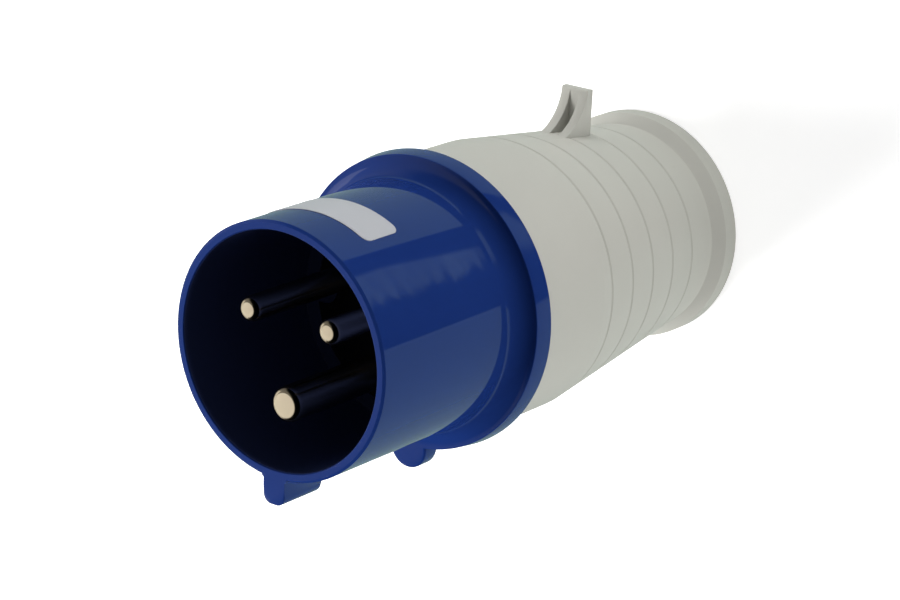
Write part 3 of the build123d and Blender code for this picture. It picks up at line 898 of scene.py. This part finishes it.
class PLUG_OT_pins(bpy.types.Operator):
    """Three turned contact pins: two thinner ones and the thicker earth pin on the key's side"""
    bl_idname = "plug.pins"
    bl_label = "Contact pins"

    def execute(self, context):
        part = context.scene.plug_pins
        level = context.scene.plug_levels
        for name, direction, radius, barrel in (("line_pin", 330.0, part.live_radius, part.live_barrel),
                                                ("neutral_pin", 210.0, part.live_radius, part.live_barrel),
                                                ("earth_pin", 90.0, part.earth_radius, part.earth_barrel)):
            seat = radius + part.seat
            collar = barrel + part.collar
            wire_top = part.barrel_low + part.wire_depth
            fine = part.edge_round
            outline = rounded([
                (0.0, wire_top),
                (part.wire_radius, wire_top),
                (part.wire_radius, part.barrel_low, fine),
                (barrel, part.barrel_low, fine),
                (barrel, part.collar_low),
                (collar, part.collar_low, fine),
                (collar, part.collar_high, fine),
                (seat, part.collar_high),
                (seat, level.cavity_floor, fine),
                (radius, level.cavity_floor),
                (radius, part.tip, part.tip_round),
                (0.0, part.tip),
            ], parts=8)
            pin = turned(name + "_turned", outline, steps=96)
            centre = (part.circle * cos(radians(direction)), part.circle * sin(radians(direction)))
            shift(pin, (*centre, 0.0))
            dress(pin, turned_metal("plated brass " + name, centre), "pin_metal", name, angle=40.0)
        return {"FINISHED"}


class PLUG_OT_label(bpy.types.Operator):
    """Bare film label wrapped over the shroud on the tab's side"""
    bl_idname = "plug.label"
    bl_label = "Label"

    def execute(self, context):
        part = context.scene.plug_trim
        shell = context.scene.plug_shell
        high = context.scene.plug_levels.rim - part.label_from_rim
        low = high - part.label_width
        outer = shell.radius + part.label_film
        label = turned("label", [(shell.radius, low - MM), (outer, low - MM), (outer, high + MM),
                                 (shell.radius, high + MM)])
        half = part.label_length / 2
        corner = part.label_corner
        window = rounded([(-half, low, corner), (half, low, corner), (half, high, corner),
                          (-half, high, corner)], parts=10)
        cutter = prism("window", [(x, 0.0, z) for x, z in window], (0, -2 * shell.radius, 0))
        combine(label, cutter, "INTERSECT")
        dress(label, label_film(), "label_film", "rating_label")
        return {"FINISHED"}


class PLUG_OT_grommet(bpy.types.Operator):
    """Rubber cable grommet, with a ringed nose in the handle's rear recess"""
    bl_idname = "plug.grommet"
    bl_label = "Cable grommet"

    def execute(self, context):
        part = context.scene.plug_trim
        tall = part.nose_root - part.nose_low
        slope = (part.nose_radius - part.nose_tip) / tall
        ring = part.nose_ring
        rings = []
        for n in range(part.nose_rings):
            z = part.nose_low + (n + 1) * tall / (part.nose_rings + 1)
            across = part.nose_tip + slope * (z - part.nose_low)
            rings += [(across - ring * slope, z - ring), (across - ring, z),
                      (across + ring * slope, z + ring)]
        outline = rounded([
            (part.grommet_bore, part.nose_low, ring),
            (part.nose_tip, part.nose_low, ring),
            *rings,
            (part.nose_radius, part.nose_root),
            (part.nose_radius, part.grommet_low),
            (part.grommet_radius, part.grommet_low, ring),
            (part.grommet_radius, part.grommet_high, ring),
            (part.grommet_bore, part.grommet_high, ring),
        ])
        grommet = turned("grommet", outline)
        dress(grommet, black_rubber(), "seal_rubber", "cable_grommet")
        return {"FINISHED"}


class PLUG_OT_inner_pieces(bpy.types.Operator):
    """Finishes of the carrier, the cord clamp, the gland, the seal, the screws and the nuts"""
    bl_idname = "plug.inner_pieces"
    bl_label = "Inner pieces"

    def execute(self, context):
        insert = black_plastic()
        rubber = black_rubber()
        steel = plated_steel()
        finishes = {"contact_carrier": insert, "contact_retainer": insert, "clamp_strap": insert,
                    "gland_ring": insert, "housing_seal": rubber}
        for side in ("left", "right"):
            for kind in ("carrier_screw_", "clamp_screw_", "clamp_nut_"):
                finishes[kind + side] = steel
        for contact in ("line", "neutral", "earth"):
            finishes[contact + "_terminal_screw"] = steel
        for name, material in finishes.items():
            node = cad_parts[name]
            if not node.material_slots:
                raise RuntimeError(name + " has no material slot")
            for slot in node.material_slots:
                slot.material = material
        return {"FINISHED"}


# Stage

def seen_directly(tree):
    """1 for camera, glossy and transmission rays, else 0."""
    path = tree.nodes.new("ShaderNodeLightPath")
    both = maths(tree, "MAXIMUM", path.outputs["Is Camera Ray"], path.outputs["Is Glossy Ray"])
    return maths(tree, "MAXIMUM", both, path.outputs["Is Transmission Ray"])


class PLUG_OT_stage(bpy.types.Operator):
    """White floor and surroundings, soft lamps, cards for the reflections and the camera"""
    bl_idname = "plug.stage"
    bl_label = "Stage"

    def execute(self, context):
        scene = context.scene
        studio = scene.plug_studio
        cards = scene.plug_cards
        scene.view_settings.view_transform = "Standard"
        self.world(scene, studio)
        self.floor(studio)
        self.dim_card(cards)
        self.upright_card(cards)
        self.round_card(cards)
        strip = (studio.strip_rise, studio.strip_height)
        back = (studio.back_rise, studio.back_height)
        for name, direction, watts, (rise, height) in (("key lamp", -85.0, studio.key_power, strip),
                                                       ("side lamp", 165.0, studio.side_power, strip),
                                                       ("low lamp", 85.0, studio.low_power, strip),
                                                       ("back lamp", 28.0, studio.back_power, back)):
            self.lamp(name, studio, radians(direction), rise, watts, height)
        self.camera(scene, studio)
        return {"FINISHED"}

    def world(self, scene, studio):
        """White where it is seen, and a weak even light on everything else."""
        world = bpy.data.worlds.new("white surroundings")
        scene.world = world
        world.use_nodes = True
        tree = world.node_tree
        background = tree.nodes["Background"]
        background.inputs["Color"].default_value = WHITE
        strength = remap(tree, seen_directly(tree), 0.0, 1.0, studio.ambient, 1.0)
        tree.links.new(strength, background.inputs["Strength"])

    def floor(self, studio):
        """A wide floor that glows where it is seen, and keeps the plug's soft shadow."""
        clear_selection()
        bpy.ops.mesh.primitive_plane_add(size=6.0, location=(0, 0, 0))
        floor = bpy.context.object
        floor.name = "floor"
        material, tree, shader, where = blank("white floor")
        tone = studio.floor_tone
        shader.inputs["Base Color"].default_value = (tone, tone, tone, 1.0)
        shader.inputs["Roughness"].default_value = 0.9
        shader.inputs["Specular IOR Level"].default_value = 0.0
        x, y = split(tree, where)[:2]
        glow = remap(tree, from_axis(tree, x, y), studio.glow_start, studio.glow_end, studio.floor_glow, 1.0)
        shader.inputs["Emission Color"].default_value = WHITE
        tree.links.new(maths(tree, "MULTIPLY", seen_directly(tree), glow), shader.inputs["Emission Strength"])
        floor.data.materials.append(material)

    def dim_card(self, card):
        """A dim card over the floor, dark in one corner but for a streaky patch."""
        clear_selection()
        bpy.ops.mesh.primitive_plane_add(size=card.dim_width, location=(0, 0, card.dim_lift))
        cool_white = (0.86, 1.20, 1.05, 1.0)
        tree, shader, where = self.card("dim card", cool_white)
        x, y = split(tree, where)[:2]
        away = from_axis(tree, x, y)
        lit = maths(tree, "MAXIMUM", remap(tree, x, card.corner_start[0], card.corner_end[0]),
                    remap(tree, y, card.corner_start[1], card.corner_end[1]))
        fade = remap(tree, away, card.fade_start, card.fade_end, card.dim_glow, 0.0)
        patch = self.patch(tree, card, away, maths(tree, "ARCTAN2", y, x))
        glow = maths(tree, "MAXIMUM", maths(tree, "MULTIPLY", lit, fade), patch)
        tree.links.new(glow, shader.inputs["Emission Strength"])

    def patch(self, tree, card, away, direction):
        """The glow of a patch between two directions, streaked along rings round the axis."""
        # Little change for each radian, so that the streaks run long round the axis.
        metres_a_radian = 0.004
        rings = add_node(tree, "ShaderNodeCombineXYZ")
        tree.links.new(away, rings.inputs["X"])
        tree.links.new(maths(tree, "MULTIPLY", direction, metres_a_radian), rings.inputs["Y"])
        grain = noise(tree, rings.outputs["Vector"], scale=380.0, detail=4.0, roughness=0.7)
        streak = remap(tree, grain, 0.35, 0.65)
        pushed = maths(tree, "ADD", direction, maths(tree, "MULTIPLY", streak, card.ragged_reach))
        ragged = remap(tree, pushed, card.ragged_start, card.ragged_end)
        edge = remap(tree, away, card.patch_start, card.patch_wide, card.narrow_side, card.wide_side)
        smooth = remap(tree, maths(tree, "SUBTRACT", direction, edge), -card.smooth_width, 0.0, 1.0, 0.0)
        first = remap(tree, away, card.patch_start, card.patch_full)
        shape = maths(tree, "MULTIPLY", maths(tree, "MULTIPLY", ragged, smooth), first)
        shine = remap(tree, streak, 0.0, 1.0, card.patch_glow, card.streak_glow)
        return maths(tree, "MULTIPLY", shape, shine)

    def upright_card(self, card):
        """A bright card far behind the pins, for the rounds of their tips."""
        low, high = 0.15, 0.38
        near, far = (0.42, -0.10), (0.30, 0.34)
        loop("upright card", [(*near, low), (*far, low), (*far, high), (*near, high)])
        bpy.ops.mesh.edge_face_add()
        bpy.ops.object.mode_set(mode="OBJECT")
        shader = self.card("upright card", WHITE)[1]
        shader.inputs["Emission Strength"].default_value = card.upright_glow

    def round_card(self, card):
        """A closed dark wall round the stage, a little brighter on one side."""
        clear_selection()
        bpy.ops.mesh.primitive_cylinder_add(vertices=64, radius=card.round_radius, depth=card.round_height,
                                            location=(0, 0, card.round_height / 2))
        settle(bpy.context.object)
        tree, shader, where = self.card("round card", WHITE)
        x = split(tree, where)[0]
        glow = remap(tree, x, card.round_start, card.round_end, 0.0, card.round_glow)
        tree.links.new(glow, shader.inputs["Emission Strength"])

    def card(self, name, glow):
        """Turns the active object into a black card whose glow only reflections see."""
        card = bpy.context.object
        card.name = name
        material, tree, shader, where = blank(name)
        shader.inputs["Base Color"].default_value = BLACK
        shader.inputs["Specular IOR Level"].default_value = 0.0
        shader.inputs["Emission Color"].default_value = glow
        card.data.materials.append(material)
        card.visible_camera = card.visible_diffuse = card.visible_shadow = False
        card.visible_transmission = card.visible_volume_scatter = False
        return tree, shader, where

    def lamp(self, name, studio, direction, rise, watts, height):
        """A soft lamp that faces the aim; the cards take its place in reflections."""
        ray = Vector((cos(rise) * cos(direction), cos(rise) * sin(direction), sin(rise)))
        clear_selection()
        bpy.ops.object.light_add(type="AREA", location=Vector(studio.aim) + ray * studio.lamp_distance,
                                 rotation=ray.to_track_quat("Z", "Y").to_euler())
        lamp = bpy.context.object
        lamp.name = name
        lamp.data.shape = "RECTANGLE"
        lamp.data.size = studio.lamp_width
        lamp.data.size_y = height
        lamp.data.energy = watts
        lamp.visible_camera = lamp.visible_glossy = False

    def camera(self, scene, studio):
        """The camera that sees the plug as the photograph shows it."""
        clear_selection()
        bpy.ops.object.camera_add(location=studio.camera_place, rotation=studio.camera_turn)
        camera = bpy.context.object
        camera.name = "camera"
        camera.data.sensor_width = studio.film
        camera.data.sensor_fit = "HORIZONTAL"
        camera.data.lens = studio.lens
        camera.data.shift_x = studio.shift_x
        camera.data.shift_y = studio.shift_y
        camera.data.clip_start = 0.01
        scene.camera = camera


class PLUG_PT_panel(bpy.types.Panel):
    """Lists the plug's pieces"""
    bl_idname = "PLUG_PT_panel"
    bl_label = "Plug"
    bl_space_type = "VIEW_3D"
    bl_region_type = "UI"
    bl_category = "Plug"

    def draw(self, context):
        for step in STEPS_IN_ORDER:
            self.layout.operator(step.bl_idname)


STEPS_IN_ORDER = (PLUG_OT_front_shell, PLUG_OT_grip, PLUG_OT_pins, PLUG_OT_label, PLUG_OT_grommet,
                  PLUG_OT_inner_pieces, PLUG_OT_stage)
SETTINGS = {"plug_levels": PlugLevels, "plug_shell": ShellSizes, "plug_grip": GripSizes,
            "plug_pins": PinSizes, "plug_trim": TrimSizes, "plug_finishes": Finishes,
            "plug_studio": StudioSettings, "plug_cards": CardSettings}


def register():
    for group in SETTINGS.values():
        bpy.utils.register_class(group)
    for step in STEPS_IN_ORDER:
        bpy.utils.register_class(step)
    bpy.utils.register_class(PLUG_PT_panel)
    for name, group in SETTINGS.items():
        setattr(bpy.types.Scene, name, PointerProperty(type=group))


def unregister():
    for name in SETTINGS:
        delattr(bpy.types.Scene, name)
    bpy.utils.unregister_class(PLUG_PT_panel)
    for step in reversed(STEPS_IN_ORDER):
        bpy.utils.unregister_class(step)
    for group in reversed(list(SETTINGS.values())):
        bpy.utils.unregister_class(group)


def main():
    register()
    for step in STEPS_IN_ORDER:
        family, name = step.bl_idname.split(".")
        getattr(getattr(bpy.ops, family), name)()


if __name__ == "__main__":
    main()
